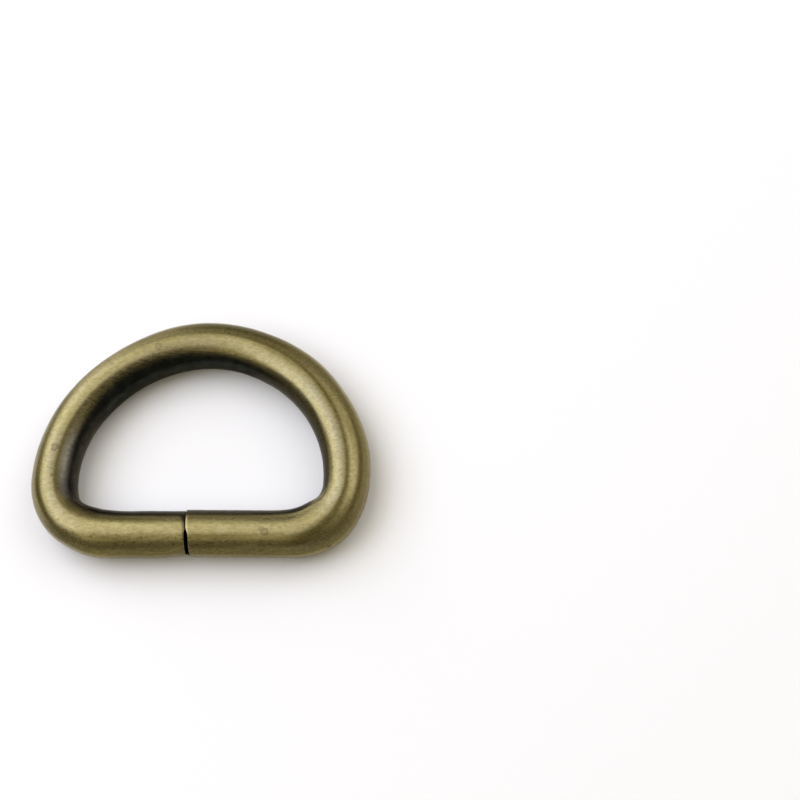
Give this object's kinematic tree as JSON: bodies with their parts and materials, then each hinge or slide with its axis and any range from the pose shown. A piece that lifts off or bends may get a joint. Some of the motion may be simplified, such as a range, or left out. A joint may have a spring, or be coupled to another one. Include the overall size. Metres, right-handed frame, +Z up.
{
  "type": "d ring",
  "caption": "Half-round ring of bent wire with a straight bar; webbing is sewn round the bar, and a hook clips onto the arch.",
  "frame": {"origin": "under the middle of the ring's outer box, on the plane that the ring lies on", "axes": "+X along the straight bar, +Y from the bar to the crown of the arch, +Z up through the opening, so that the ring lies flat"},
  "size_m": [0.035, 0.0254, 0.0048],
  "materials": {
    "antique_brass": "antique brass plating, brushed to a satin and left nearly black on the inside of the ring"
  },
  "bodies": {
    "root": {"wire_ring": "antique_brass"}
  },
  "joints": []
}
